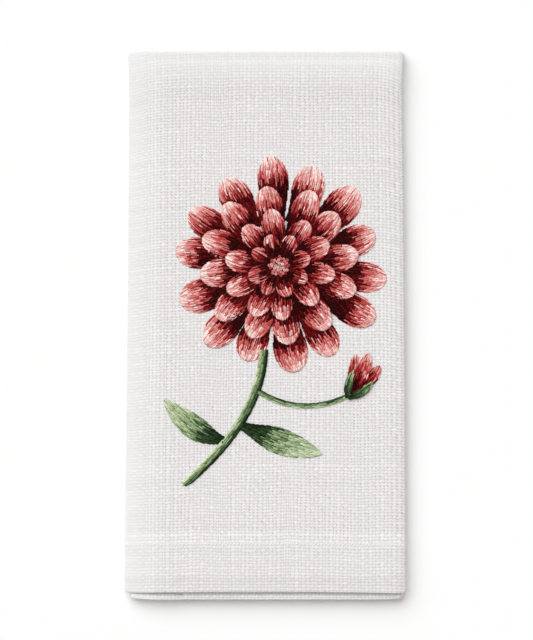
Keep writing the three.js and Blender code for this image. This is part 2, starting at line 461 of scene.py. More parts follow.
def add_object(name, data):
    new = bpy.data.objects.new(name, data)
    bpy.context.scene.collection.objects.link(new)
    return new


def add_mesh(name, points, faces, material, uv_maps, dyes=None):
    """A smooth mesh from points in millimetres. Each UV map has a pair for each face corner,
    and dyes a linear colour for each point."""
    mesh = bpy.data.meshes.new(name)
    mesh.from_pydata((points * MM).tolist(), [], faces)
    mesh.polygons.foreach_set("use_smooth", np.ones(len(faces), bool))
    for map_name, corners in uv_maps.items():
        layer = mesh.uv_layers.new(name=map_name)
        layer.data.foreach_set("uv", corners.astype(np.float32).ravel())
    if dyes is not None:
        dye = mesh.color_attributes.new("dye", "FLOAT_COLOR", "POINT")
        dye.data.foreach_set("color", dyes.astype(np.float32).ravel())
    mesh.materials.append(material)
    mesh.update()
    piece = add_object(name, mesh)
    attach(piece, "root")
    return piece


def grid_ids(points, first):
    """The number of each point of a grid, row by row from first."""
    rows, columns = np.indices(points.shape[:2])
    return first + rows * points.shape[1] + columns


def grid_faces(ids):
    """The squares between a grid's points."""
    return joined(ids[:-1, :-1], ids[:-1, 1:], ids[1:, 1:], ids[1:, :-1]).reshape(-1, 4)


def zip_edges(a, a_at, b, b_at, is_turned):
    """Triangles between two edges whose points lie at these places along them, and for each
    of their corners the nearest point of edge a."""
    triangles, near = [], []
    i = j = 0
    while i < len(a) - 1 or j < len(b) - 1:
        if j == len(b) - 1 or (i < len(a) - 1 and a_at[i + 1] <= b_at[j + 1]):
            corners, beside = [a[i + 1], a[i], b[j]], [a[i + 1], a[i], a[i]]
            i += 1
        else:
            corners, beside = [a[i], b[j], b[j + 1]], [a[i], a[i], a[i]]
            j += 1
        triangles.append(corners[::-1] if is_turned else corners)
        near.append(beside[::-1] if is_turned else beside)
    return triangles, near


# The cloth

def weave_relief(rng, across, along):
    """The height of the woven surface at places counted in warp and weft threads: pits where
    the gaps between threads cross, and threads that differ a little. Where the cloth is drawn
    over the left fold and the top one, the weft threads alone stand out. One gap in ten has
    closed up."""
    warps, wefts = WARPS + SPARE_WARPS, WEFTS + SPARE_WEFTS
    gap_across = np.cos(np.pi * across) ** 2
    gap_along = np.cos(np.pi * along) ** 2
    is_open = mix(0.1, 1, smooth(across, -1, 9) * smooth(along, WEFTS + 1, WEFTS - 7))
    pit_size = rng.uniform(-0.2, 1.7, (wefts, warps)).clip(0)
    row = np.round(along).astype(int).clip(0, wefts - 1)
    column = np.round(across).astype(int).clip(0, warps - 1)
    pits = is_open * gap_across * gap_along * pit_size[row, column]
    warp_height = rng.normal(0, THREAD_RELIEF, warps)
    weft_height = rng.normal(0, THREAD_RELIEF, wefts)
    warp = warp_height[np.floor(across).astype(int).clip(0, warps - 1)]
    weft = weft_height[np.floor(along).astype(int).clip(0, wefts - 1)]
    warp_relief = is_open * (warp * (1 - gap_across) - WARP_GAP * gap_across)
    return warp_relief + weft * (1 - gap_along) - WEFT_GAP * gap_along - CELL_PIT * pits


def front_relief(rng, columns, rows, across, along):
    """The weave's relief where the sheet faces up or shows at a side. It is lower on the top
    fold and just below it, on the hem and its edge, and in the top left corner."""
    from_hem = FOLDED_LENGTH - rows["down"]
    is_shown = ~np.isin(columns["part"], (LEFT_FLAP, RIGHT_FLAP)) & ~rows["is_back"]
    in_fold = 0.3 * smooth(rows["angle"], -1.2, -0.2)
    at_top = np.where(rows["in_fold"], in_fold, mix(0.3, 1, smooth(rows["down"], 4, 14)))
    at_edge = np.where(rows["past_edge"] > 0, 0.4, 1)
    at_hem = mix(0.5, 1, smooth(from_hem, HEM_DEPTH - 1, HEM_DEPTH))
    at_corner = 1 - 0.9 * smooth(across, 9, 0) * smooth(rows["down"], 20, 8)
    height = weave_relief(rng, across, along)
    return height * is_shown * (at_top * at_edge * at_hem * at_corner)


def weft_drop(columns, down):
    """How much lower the weft threads lie towards both sides, where the side folds draw them.
    It is most below the top fold."""
    part, share = columns["part"], columns["share"]
    drop = 0
    for fold, away in ((LEFT_FOLD, share), (RIGHT_FOLD, 1 - share)):
        fading = np.exp(-away / PULL[fold]["reach"])
        drop = drop + PULL[fold]["drop"] * np.select([part == PANEL, part == fold], [fading, away])
    return drop * np.interp(down, PULL_FADE["down"], PULL_FADE["share"])


def slide_threads(columns, rows, across, along):
    """Shifts threads a little within the surface, so that they wander as woven threads do and
    hang lower at both sides. Gives the shifted columns and rows, and their places along the
    cloth in weft threads, which take in the shift where the cloth turns over the top fold."""
    part, share, down = columns["part"], columns["share"], rows["down"]
    is_front = ~rows["is_back"] & ~rows["in_fold"] & (rows["past_edge"] == 0)
    at_hem = smooth(FOLDED_LENGTH - down, 1, 9)
    below_fold = smooth(down, FIRST_ROW, 20)
    wander = 0.22 * np.sin(across * 0.21 + along * 0.013 + 0.7) + 0.13 * np.sin(across * 0.47 + 2.1)
    drop = weft_drop(columns, down) * at_hem
    slide = np.where(is_front, below_fold * (wander * at_hem + drop), 0)
    sway = 0.0026 * np.sin(along * 0.055 + across * 0.3) + 0.0013 * np.sin(along * 0.19 + across * 0.9)
    room = np.sin(np.pi * np.clip(share, 0, 1))
    new_share = share + np.where((part == PANEL) & is_front, sway * room, 0)
    over_fold = np.where(rows["in_fold"], smooth(rows["angle"], -1.2, 0.3), ~rows["is_back"])
    hidden = drop * (1 - below_fold) * over_fold / WEFT_PITCH
    new_along = along + hidden + fold_shortfall(columns, rows)
    return {**columns, "share": new_share}, {**rows, "down": down + slide}, new_along


def fold_shortfall(columns, rows):
    """How many weft threads fewer each place lies along the cloth than in the thick middle of
    the top fold. Towards the left side the fold is thinner, and the way round it shorter."""
    x = section(columns["part"], columns["share"], rows["down"], rows["is_back"])[0]
    half = panel_level(x, rows["down"]) * (CLOTH + LAYER_GAP) + CLOTH / 2
    angles, run = pressed_turn()
    in_fold = 1 - np.interp(-rows["angle"], -angles, run)
    on_back = (2 - run[-1]) * smooth(rows["down"], 52, FIRST_ROW)
    missing = np.select([rows["in_fold"], rows["is_back"]], [in_fold, on_back], 0)
    return (FOLD_ARC - half) / WEFT_PITCH * missing


def baked_layout(columns, places, left, right):
    """A flat layout of one face between these shares of its width, which gives the front
    panel the most room."""
    ends = (0, 0.12, 0.15, 0.85, 0.88, 1)
    share = np.clip(columns["share"], 0, 1)
    u = by_part(columns["part"], [mix(ends[i], ends[i + 1], share) for i in PARTS])
    turn = WEFTS + 0.5 * np.pi * FOLD_ARC / WEFT_PITCH
    v = np.interp(places, [-1.3, turn, turn + 190], [0.005, 0.68, 0.995])
    return joined(mix(left, right, u), v).reshape(-1, 2)


def make_cloth(material):
    """The folded sheet, closed, with its woven relief on the front and over the top fold."""
    rng = np.random.default_rng(11)
    warp_lines = thread_lines(rng, WARPS, 0.32)
    weft_lines = thread_lines(rng, WEFTS, 0.07)
    last = np.append(eased(14), 1)
    outer_columns = make_columns(eased(16), even(7), warp_lines[:-1], even(9), last)
    inner_columns = make_columns(eased(12), even(5), eased(24), even(6), last)
    rows, along = outer_rows(weft_lines)
    in_rows, in_along = inner_rows()
    across = warp_places(outer_columns, warp_lines)
    in_across = warp_places(inner_columns, warp_lines)
    raised = front_relief(rng, outer_columns, rows, across, along)
    slid_columns, slid_rows, slid_along = slide_threads(outer_columns, rows, across, along)
    outer = sheet_points(slid_columns, slid_rows, raised)
    inner = sheet_points(inner_columns, in_rows)

    ids = grid_ids(outer, 0)
    in_ids = grid_ids(inner, ids.size)
    outer_squares, inner_squares = grid_faces(ids), grid_faces(in_ids)[:, ::-1]
    edges = (
        (ids[0], across[0], in_ids[0], in_across[0], False),
        (ids[-1], across[0], in_ids[-1], in_across[0], True),
        (ids[:, 0], along[:, 0], in_ids[:, 0], in_along[:, 0], True),
        (ids[:, -1], along[:, 0], in_ids[:, -1], in_along[:, 0], False),
    )
    rims = [zip_edges(*edge) for edge in edges]
    triangles = np.concatenate([rim[0] for rim in rims])
    near = np.concatenate([rim[1] for rim in rims])
    corners = np.concatenate([outer_squares.ravel(), inner_squares.ravel(), near.ravel()])
    threads = [joined(*at).reshape(-1, 2) for at in ((across, slid_along), (in_across, in_along))]
    layouts = [
        baked_layout(outer_columns, along, 0.005, 0.84),
        baked_layout(inner_columns, in_along, 0.86, 0.995),
    ]
    faces_of = {"threads": threads, "OFBake": layouts}
    uv_maps = {name: np.concatenate(pair)[corners] for name, pair in faces_of.items()}
    faces = [*outer_squares.tolist(), *inner_squares.tolist(), *triangles.tolist()]
    points = np.concatenate([outer.reshape(-1, 3), inner.reshape(-1, 3)])
    return add_mesh("folded_linen", points, faces, material, uv_maps)


# Threads

def thread_points(paths, out, width, height):
    """The points of six-sided threads of flattened section, thinner at both ends, along
    paths. out is the way out of the cloth at each point of a path."""
    along = np.gradient(paths, axis=1)
    side = np.cross(along, out)
    side /= np.linalg.norm(side, axis=-1, keepdims=True)
    up = np.cross(side, along)
    up /= np.linalg.norm(up, axis=-1, keepdims=True)
    angle = np.arange(ROUND) * 2 * np.pi / ROUND
    size = np.ones(paths.shape[1])
    size[[0, -1]] = 0.5
    wide = (width / 2 * size)[None, :, None, None] * np.cos(angle)[:, None]
    high = (height / 2 * size)[None, :, None, None] * np.sin(angle)[:, None]
    return paths[:, :, None] + side[:, :, None] * wide + up[:, :, None] * high


def thread_mesh(name, paths, out, width, height, material, dyes=None):
    """One joined mesh of closed threads. Each has a cell of its own in the baked layout."""
    count, steps = paths.shape[:2]
    points = thread_points(paths, out, width, height)
    thread, step, k = np.indices((count, steps - 1, ROUND))
    ring = (thread * steps + step) * ROUND
    after = (k + 1) % ROUND
    sides = joined(ring + k, ring + ROUND + k, ring + ROUND + after, ring + after)
    first = np.arange(count)[:, None] * steps * ROUND + np.arange(ROUND)
    caps = np.concatenate([first, (first + (steps - 1) * ROUND)[:, ::-1]])

    corners = np.concatenate([sides.ravel(), caps.ravel()])
    at_thread, at_step = corners // (steps * ROUND), corners // ROUND % steps
    caps_round = np.tile(np.arange(ROUND), 2 * count)
    at_round = np.concatenate([joined(k, k, k + 1, k + 1).ravel(), caps_round]) / ROUND
    lengths = np.linalg.norm(np.diff(paths, axis=1), axis=-1)
    mm_along = np.concatenate([np.zeros((count, 1)), np.cumsum(lengths, axis=1)], axis=1)

    cells = math.ceil(math.sqrt(count))
    cell_u = (at_thread % cells + 0.1 + 0.8 * at_round) / cells
    cell_v = (at_thread // cells + 0.1 + 0.8 * at_step / (steps - 1)) / cells
    strand = joined(at_round, mm_along[at_thread, at_step])
    faces = [*sides.reshape(-1, 4).tolist(), *caps.tolist()]
    point_dyes = None if dyes is None else np.repeat(dyes, steps * ROUND, axis=0)
    uv_maps = {"strand": strand, "OFBake": joined(cell_u, cell_v)}
    return add_mesh(name, points.reshape(-1, 3), faces, material, uv_maps, point_dyes)


def seam_mesh(name, is_back, material):
    """Slanted stitches along a hem's seam, over the panel and round both side folds."""
    rng = np.random.default_rng(31 + is_back)
    seam = FOLDED_LENGTH - HEM_DEPTH
    left, right = sides_at(seam, is_back)
    radii = ((HEM_CLOTH + LAYER_GAP) / 2, HEM_CLOTH + LAYER_GAP)
    reach = [radius + HEM_CLOTH / 2 for radius in radii]
    arcs = [math.pi * radius for radius in reach]
    flat = right - left - sum(reach)
    length = sum(arcs) + flat
    count = int(length / SEAM["pitch"])
    centre = (np.arange(count) + 0.5) * length / count
    centre = (centre + rng.normal(0, 0.06, count))[:, None]
    slant = np.radians(SEAM["slant"] + rng.normal(0, 5, count))[:, None]
    step = np.array([-0.5, -0.36, 0, 0.36, 0.5]) * SEAM["stitch"]
    across = np.clip(centre + step * np.cos(slant), 0, length)
    down = seam - step * np.sin(slant) + rng.normal(0, 0.05, (count, 1))
    is_at = [across < arcs[0], across < arcs[0] + flat]
    part = np.select(is_at, [LEFT_FOLD, PANEL], RIGHT_FOLD)
    shares = [across / arcs[0], (across - arcs[0]) / flat]
    share = np.select(is_at, shares, (across - arcs[0] - flat) / arcs[1])
    rows = make_row(down, is_back=np.full(down.shape, is_back))
    sunk = -0.2 if is_back else 0.0
    raised = sunk + np.array([-0.1, 0.0, 0.03, 0.0, -0.1])
    columns = {"part": part, "share": share}
    paths = sheet_points(columns, rows, raised)
    out = sheet_points(columns, rows, raised + 0.1) - paths
    return thread_mesh(name, paths, out, SEAM["width"], SEAM["height"], material)


# The embroidery's stitches

def spine_at(spine, share):
    """Points along a curve with three control points, and the way to its side."""
    start, bend, end = (np.array(point, float) for point in spine)
    share = np.asarray(share)[..., None]
    point = (1 - share) ** 2 * start + 2 * (1 - share) * share * bend + share**2 * end
    slope = (1 - share) * (bend - start) + share * (end - bend)
    side = np.stack([-slope[..., 1], slope[..., 0]], axis=-1)
    return point, side / np.linalg.norm(side, axis=-1, keepdims=True)


def spine_length(spine):
    points = spine_at(spine, np.linspace(0, 1, 40))[0]
    return np.linalg.norm(np.diff(points, axis=0), axis=1).sum()


def shape_width(share, widest, base, point):
    """A shape's width at a share of its length, as a share of its greatest width. base is its
    width where it starts, and point how pointed its tip is."""
    past = np.clip((share - widest) / (1 - widest), 0, 1)
    return mix(base, 1, smooth(share, 0, widest)) * (1 - past**2) ** point


def pick_dyes(rng, dyes, tones):
    """Each stitch's colour: a dye near its tone, a little lighter or darker. Dark places are
    of one colour, and the middle tones are the most mixed."""
    table = np.array([linear(dye) for dye in dyes])
    spread = np.interp(tones, (0.5, 1.5, 3, 5.5), (0.25, 0.7, 1.05, 0.7))
    index = np.clip(np.round(tones + rng.normal(0, spread)), 0, len(dyes) - 1)
    colours = table[index.astype(int)].copy()
    colours[:, :3] *= rng.uniform(0.85, 1.12, (len(tones), 1))
    return colours


def long_and_short(rng, shape, dyes):
    """Long and short stitches from a shape's tip to its base, in lanes that draw together.
    Both ends of a stitch dive into the cloth. Colours change at another place in each lane,
    so that they meet in ragged teeth."""
    length = spine_length(shape["spine"])
    shares = np.linspace(0, 1, 161)
    half = shape["half"] * shape_width(shares, *shape["form"])
    draw = mix(1, half / shape["half"], 0.6)
    lanes = round(2 * shape["half"] / LANE)
    stitches = []
    for lane in range(lanes):
        place = 2 * (lane + 0.5) / lanes - 1
        inside = np.nonzero(np.abs(place) * shape["half"] * draw <= half)[0]
        if len(inside) < 8:
            continue
        low, at = shares[inside[0]], shares[inside[-1]] + rng.uniform(-0.25, 0.1) / length
        size = shape["stitch"][lane % 2]
        tooth = rng.uniform(-0.5, 0.5) * TOOTH / length
        while at > low + 0.8 / length:
            end = max(at - size / length, low)
            stitches.append((at, end, place, tooth))
            at = end + OVERLAP / length if end > low else low
            size = rng.uniform(*shape["stitch"])
    start, end, place, tooth = (np.array(column)[:, None] for column in zip(*stitches))
    share = mix(start, end, np.array([0, 0.2, 0.8, 1]))
    centre, side = spine_at(shape["spine"], share)
    offset = place * shape["half"] * np.interp(share, shares, draw)
    at = centre + side * offset[..., None]
    crown = shape["dome"] * (1 - place**2) * np.sin(np.pi * mix(0.14, 0.86, share)) ** 0.5
    dive = np.array([0.4, 0, 0, 0.4])
    lift = shape["base"] + crown - dive + rng.normal(0, 0.03, place.shape)
    middle = (start + end) / 2 + tooth
    tones = np.interp(middle, *shape["tones"]) + shape["shade"] * place
    return panel_point(at[..., 0], at[..., 1], lift), pick_dyes(rng, dyes, tones[:, 0])


def knot_stitches(rng, centre, radius, count, base):
    """French knots, each a thread that coils round once and a half, spread over a round."""
    golden = math.pi * (3 - math.sqrt(5))
    k = np.arange(count)
    away = radius * np.sqrt((k + 0.5) / count)
    x = centre[0] + away * np.cos(k * golden) + rng.normal(0, 0.12, count)
    down = centre[1] + away * np.sin(k * golden) + rng.normal(0, 0.12, count)
    turn = np.linspace(0, 3.2 * np.pi, 13) + rng.uniform(0, 2 * np.pi, (count, 1))
    coil = np.interp(np.arange(13), [0, 2, 9, 12], [0.2, 0.52, 0.46, 0.1])
    lift = np.interp(np.arange(13), [0, 2, 9, 12], [-0.3, 0.1, 0.5, 0.35]) + base
    x = x[:, None] + coil * np.cos(turn)
    down = down[:, None] + coil * np.sin(turn)
    tones = mix(5.6, 3.4, away / radius)
    return panel_point(x, down, lift), pick_dyes(rng, REDS, tones)


def embroidery_mesh(name, groups, material, width=THREAD["width"], height=THREAD["height"]):
    """One joined mesh from groups of stitches and their dyes."""
    paths = np.concatenate([group[0] for group in groups])
    dyes = np.concatenate([group[1] for group in groups])
    out = np.broadcast_to((0.0, 0.0, 1.0), paths.shape)
    piece = thread_mesh(name, paths, out, width, height, material, dyes)
    return piece


# The flower: rings of petals round a heart of knots, a stem with two leaves, and a bud

def ring_of_petals(rng, tones, count, inner, outer, half, base, turn):
    """Petals all round the bloom, each a little different in length, width and bend."""
    petals = []
    for i in range(count):
        angle = turn + 2 * math.pi * (i + rng.uniform(-0.08, 0.08)) / count
        way = np.array([math.cos(angle), math.sin(angle)])
        side = np.array([-way[1], way[0]])
        reach = outer * rng.uniform(0.94, 1.03)
        bend = rng.uniform(-0.1, 0.1) * (reach - inner)
        middle = way * mix(inner, reach, 0.55) + side * bend
        tip = way * reach + side * rng.uniform(-0.6, 0.6) * bend
        spine = [tuple(np.array(BLOOM) + place) for place in (way * inner, middle, tip)]
        petals.append({
            "spine": spine,
            "half": half * rng.uniform(0.93, 1.06),
            "form": (0.62, 0.62, 0.55),
            "base": base + 0.2 * (i % 2),
            "dome": 0.3,
            "stitch": (2.2, 4.2),
            "tones": (np.array(tones[0]) + rng.uniform(-0.03, 0.03), tones[1]),
            "shade": rng.choice([-0.5, 0.5]) * rng.uniform(0.7, 1.3),
        })
    return petals


def make_bloom(material):
    """Four rings of petals, each dark where the next ring lies on it and pale at its tips."""
    rng = np.random.default_rng(5)
    rings = [ring_of_petals(rng, tones, **ring) for ring, tones in zip(RINGS, RING_TONES)]
    outer, middle, inner, heart = rings
    petals_of = {"outer_petals": outer, "middle_petals": middle, "inner_petals": inner + heart}
    pieces = [
        embroidery_mesh(name, [long_and_short(rng, petal, REDS) for petal in petals], material)
        for name, petals in petals_of.items()
    ]
    knots = [knot_stitches(rng, BLOOM, radius=4.6, count=40, base=1.7)]
    return [*pieces, embroidery_mesh("heart_knots", knots, material, width=0.5, height=0.46)]


def make_bud(rng):
    """A half-open bud on the side stem: three petals in two green sepals."""
    petal = {
        "form": (0.6, 0.5, 0.6),
        "base": 0.2,
        "dome": 0.3,
        "stitch": (2.2, 3.6),
        "tones": ((0, 0.4, 0.46, 0.75, 1), (0.0, 0.5, 2.2, 3.4, 5.4)),
        "shade": 0.5,
    }
    sepal = {**petal, "form": (0.4, 0.5, 0.8), "base": 0.8, "tones": ((0, 0.5, 1), (0.4, 1.6, 4.4))}
    petals = (
        {**petal, "spine": [(38, 155), (41, 148), (41, 138)], "half": 2.9},
        {**petal, "spine": [(39.5, 155), (48, 151), (52, 143)], "half": 2.9},
        {**petal, "spine": [(38.5, 156), (44, 149), (47, 137.5)], "half": 3.3, "base": 0.5},
    )
    sepals = (
        {**sepal, "spine": [(37, 158), (37, 152), (40, 145)], "half": 1.8},
        {**sepal, "spine": [(37.5, 158), (45, 156), (49, 150)], "half": 1.8},
    )
    in_red = [long_and_short(rng, shape, REDS) for shape in petals]
    return in_red, [long_and_short(rng, shape, GREENS) for shape in sepals]


def make_greens(rng):
    """The stem and the bud's stem, light along one side and dark along the other, and two
    leaves that are dark where they start and pale at their tips."""
    stem = {
        "spine": [(-1, 136), (-2, 168), (-38, 198)],
        "half": 2.1,
        "form": (0.2, 0.9, 0.1),
        "base": 0.3,
        "dome": 0.3,
        "stitch": (3.5, 6.5),
        "tones": ((0, 1), (2.5, 3.3)),
        "shade": 3.4,
    }
    leaf = {
        **stem,
        "form": (0.52, 0.3, 0.85),
        "base": 0.1,
        "stitch": (2.4, 4.4),
        "tones": ((0, 0.36, 0.41, 0.66, 1), (0.2, 0.7, 2.9, 4.2, 5.4)),
        "shade": 0.5,
    }
    shapes = (
        {**stem, "spine": [(-4.5, 154.5), (16, 168), (38.5, 156.5)], "half": 1.2, "shade": 2.0},
        stem,
        {**leaf, "spine": [(-13, 170), (4, 178), (26, 184)], "half": 6.0},
        {**leaf, "spine": [(-17, 178), (-32, 176), (-47, 158)], "half": 5.4, "shade": -0.5},
    )
    return [long_and_short(rng, shape, GREENS) for shape in shapes]


def make_embroidery(material):
    rng = np.random.default_rng(8)
    bud_petals, sepals = make_bud(rng)
    greens = embroidery_mesh("stem_and_leaves", [*make_greens(rng), *sepals], material)
    return [*make_bloom(material), greens, embroidery_mesh("bud", bud_petals, material)]


# Materials

def set_inputs(target, inputs):
    """Sets a node's inputs. Each is a value, or a node or socket to link."""
    for key, value in inputs.items() if isinstance(inputs, dict) else enumerate(inputs):
        if isinstance(value, bpy.types.Node):
            value = next(output for output in value.outputs if output.enabled)
        if isinstance(value, bpy.types.NodeSocket):
            target.id_data.links.new(value, target.inputs[key])
        else:
            target.inputs[key].default_value = value


def add_node(tree, kind, inputs=(), operation=None, **settings):
    """Adds a shader node with its inputs, its operation where it has one, and other settings."""
    new = tree.nodes.new("ShaderNode" + kind)
    if operation:
        settings["operation"] = operation
    for name, value in settings.items():
        setattr(new, name, value)
    set_inputs(new, inputs)
    return new


def new_material(name):
    """A material, the call that adds a node to it, and its surface shader."""
    material = bpy.data.materials.new(name)
    material.use_nodes = True
    tree = material.node_tree
    return material, partial(add_node, tree), tree.nodes["Principled BSDF"]


def bleached_linen():
    """Bleached linen in an open plain weave of uneven yarns. The weft shows most, as rows of
    small rounded floats that rise to the right, with a faint pinhole where four yarns meet."""
    material, add, shader = new_material("bleached_linen")

    # Places counted in threads, which wander a little
    threads = add("UVMap", uv_map="threads")
    drift = add("TexNoise", {"Vector": threads, "Scale": 0.6, "Detail": 1.0})
    half = (0.5, 0.5, 0.5)
    shift = add("VectorMath", (drift.outputs["Color"], half), "SUBTRACT")
    drifted = add("VectorMath", (shift, (0.5, 0.45, 0), threads), "MULTIPLY_ADD")
    across, along, _ = add("SeparateXYZ", (drifted,)).outputs

    # The weave is drawn tight over the left fold and the top one, and under the hems' stitches
    true_across, true_along, _ = add("SeparateXYZ", (threads,)).outputs
    from_left = add("Math", (true_across,), "ABSOLUTE")
    past_top = add("Math", (true_along, FOLD_MIDDLE), "SUBTRACT")
    from_top = add("Math", (past_top,), "ABSOLUTE")
    past_seam = add("Math", (from_top, SEAM_PLACE), "SUBTRACT")
    from_seam = add("Math", (past_seam,), "ABSOLUTE")
    loose_at_left = add("MapRange", (from_left, 1.0, 10.0, 0.1, 1.0))
    loose_at_top = add("MapRange", (from_top, 6.0, 14.5, 0.25, 1.0))
    loose_at_seam = add("MapRange", (from_seam, 0.5, 1.3, 0.5, 1.0))
    loose_at_folds = add("Math", (loose_at_left, loose_at_top), "MULTIPLY")
    loose = add("Math", (loose_at_folds, loose_at_seam), "MULTIPLY")

    # Places on the floats, which rise to the right where the weave is loose
    rise = add("Math", (across,), "FRACT")
    loose_rise = add("Math", (rise, loose), "MULTIPLY")
    risen = add("Math", (loose_rise, -0.22, along), "MULTIPLY_ADD")
    place = add("CombineXYZ", (across, risen))
    cell = add("VectorMath", (place,), "FLOOR")
    warp_number, weft_number, _ = add("SeparateXYZ", (cell,)).outputs

    # Warp and weft yarns, each over and under the other in turn. Where the weave is tight at
    # the left, the weft lies straight and hides the warp.
    turns = add("VectorMath", (place, (math.pi, math.pi, 0)), "MULTIPLY")
    waves = add("VectorMath", (turns,), "SINE")
    wave_across, wave_along, _ = add("SeparateXYZ", (waves,)).outputs
    signs = add("VectorMath", (waves,), "SIGN")
    sign_across, sign_along, _ = add("SeparateXYZ", (signs,)).outputs
    rounded = add("VectorMath", (waves,), "ABSOLUTE")
    bulges = add("VectorMath", (rounded, (0.85, 1.0, 0), (0, 0.15, 0)), "MULTIPLY_ADD")
    warp_bulge, weft_bulge, _ = add("SeparateXYZ", (bulges,)).outputs
    warp_shows = add("MapRange", (from_left, 0.0, 5.0, 0.1, 1.0))
    bend = add("Math", (warp_shows, 0.45), "MULTIPLY")
    warp_sway = add("Math", (wave_along, sign_across), "MULTIPLY")
    warp_up = add("Math", (warp_sway, bend, warp_bulge), "MULTIPLY_ADD")
    warp = add("Math", (warp_up, warp_shows), "MULTIPLY")
    weft_sway = add("Math", (wave_across, sign_along), "MULTIPLY")
    weft_down = add("Math", (weft_sway, bend), "MULTIPLY")
    weft = add("Math", (weft_bulge, weft_down), "SUBTRACT")
    height = add("Math", (warp, weft), "MAXIMUM")
    is_weft = add("Math", (weft, warp), "GREATER_THAN")

    # Slubs: thick, brighter places along single yarns, about 23 mm long
    on_warp = add("CombineXYZ", (warp_number, along))
    on_weft = add("CombineXYZ", (across, weft_number))
    warp_slub_at = add("VectorMath", (on_warp, (17.3, 0.06, 0)), "MULTIPLY")
    weft_slub_at = add("VectorMath", (on_weft, (0.07, 13.7, 0)), "MULTIPLY")
    slub_at = add("Mix", {0: is_weft, 4: warp_slub_at, 5: weft_slub_at}, data_type="VECTOR")
    slub_noise = add("TexNoise", {"Vector": slub_at, "Scale": 1.0, "Detail": 1.0})
    slub_range = (slub_noise, 0.55, 0.72, 0.0, loose)
    slub = add("MapRange", slub_range, interpolation_type="SMOOTHSTEP")

    # Fibres along each yarn, drawn about 0.4 mm wide, coarser than real ones, so that they show
    fibre_scales = {0: is_weft, 4: (4.0, 0.7, 0), 5: (0.9, 3.2, 0)}
    fibre_scale = add("Mix", fibre_scales, data_type="VECTOR")
    fibre_at = add("VectorMath", (place, fibre_scale), "MULTIPLY")
    fibre = add("TexNoise", {"Vector": fibre_at, "Scale": 1.0, "Detail": 2.0})

    # Each yarn's own tone, and each float's
    warp_seed = add("Math", (warp_number, 400.5), "ADD")
    weft_seed = add("Math", (weft_number, 0.5), "ADD")
    seed = add("Mix", {0: is_weft, 2: warp_seed, 3: weft_seed})
    yarn = add("TexWhiteNoise", {"W": seed}, noise_dimensions="1D")
    float_seed = add("TexWhiteNoise", {"Vector": cell}, noise_dimensions="2D")

    # The hems are two layers thick, so their pinholes are fainter
    in_hem = add("MapRange", (from_top, SEAM_PLACE - 0.8, SEAM_PLACE - 0.2, 1.0, 0.45))
    wide_noise = add("TexNoise", {"Vector": threads, "Scale": 0.09, "Detail": 2.0})
    openness = add("MapRange", (wide_noise, 0.3, 0.7, 0.45, 1.25))
    open_hem = add("Math", (openness, in_hem), "MULTIPLY")
    is_open = add("Math", (open_hem, loose), "MULTIPLY")

    # Pinholes, up to 0.8 mm across, sunk in the bump and painted dark as the shade in them
    ahead = add("VectorMath", (drifted, half), "ADD")
    corner = add("VectorMath", (ahead,), "FLOOR")
    away = add("VectorMath", (drifted, corner), "SUBTRACT")
    away_mm = add("VectorMath", (away, (WARP_PITCH, WEFT_PITCH, 0)), "MULTIPLY")
    distance = add("VectorMath", (away_mm,), "LENGTH")
    chance = add("TexWhiteNoise", {"Vector": corner}, noise_dimensions="2D")
    radius = add("MapRange", (chance, 0.1, 1.0, 0.04, 0.42))
    share = add("Math", (distance, radius), "DIVIDE")
    spot = add("MapRange", (share, 0.35, 1.3, 1.0, 0.0), interpolation_type="SMOOTHSTEP")
    unslubbed = add("MapRange", (slub, 0.0, 1.0, 1.0, 0.2))
    open_spot = add("Math", (spot, is_open), "MULTIPLY")
    hole = add("Math", (open_spot, unslubbed), "MULTIPLY", use_clamp=True)

    # Colour: light yarns, with painted shade where they dip under one another, and pinholes painted a
    # warm grey as the shade in them
    dip_shade = add("MapRange", (height, 0.45, 1.15, 1.0, 0.0), interpolation_type="SMOOTHSTEP")
    depth = add("MapRange", (loose, 0.0, 1.0, 0.2, 1.0))
    dip_shade_share = add("Math", (dip_shade, depth), "MULTIPLY")
    yarn_and_dip_shade = {0: dip_shade_share, 6: linear("#ebeaea"), 7: linear("#d7d1d0")}
    dip_shaded = add("Mix", yarn_and_dip_shade, data_type="RGBA")
    # The pinholes' warm grey is painted shade
    pinhole_shaded = add("Mix", {0: hole, 6: dip_shaded, 7: linear("#c2bcb9")}, data_type="RGBA")
    yarn_tone = add("MapRange", (yarn, 0.0, 1.0, 0.97, 1.02))
    float_low = add("MapRange", (loose, 0.0, 1.0, 0.98, 0.95))
    float_high = add("MapRange", (loose, 0.0, 1.0, 1.0, 1.03))
    float_tone = add("MapRange", (float_seed, 0.0, 1.0, float_low, float_high))
    fibre_tone = add("MapRange", (fibre, 0.3, 0.7, 0.955, 1.03))
    slub_tone = add("MapRange", (slub, 0.0, 1.0, 1.0, 1.05))
    tone = yarn_tone
    for other_tone in (float_tone, fibre_tone, slub_tone):
        tone = add("Math", (tone, other_tone), "MULTIPLY")
    colour = add("VectorMath", {0: pinhole_shaded, "Scale": tone}, "SCALE")

    # Relief
    fibrous = add("Math", (fibre, 0.35, height), "MULTIPLY_ADD")
    slubbed = add("Math", (slub, 0.35, fibrous), "MULTIPLY_ADD")
    relief = add("Math", (hole, -0.4, slubbed), "MULTIPLY_ADD")
    strength = add("Math", (depth, 0.5), "MULTIPLY")
    bump = add("Bump", {"Height": relief, "Strength": strength, "Distance": 0.2 * MM})
    finish = {"Base Color": colour, "Normal": bump, "Roughness": 0.85, "Specular IOR Level": 0.25}
    set_inputs(shader, {**finish, "Sheen Weight": 0.12, "Sheen Roughness": 0.5})
    return material


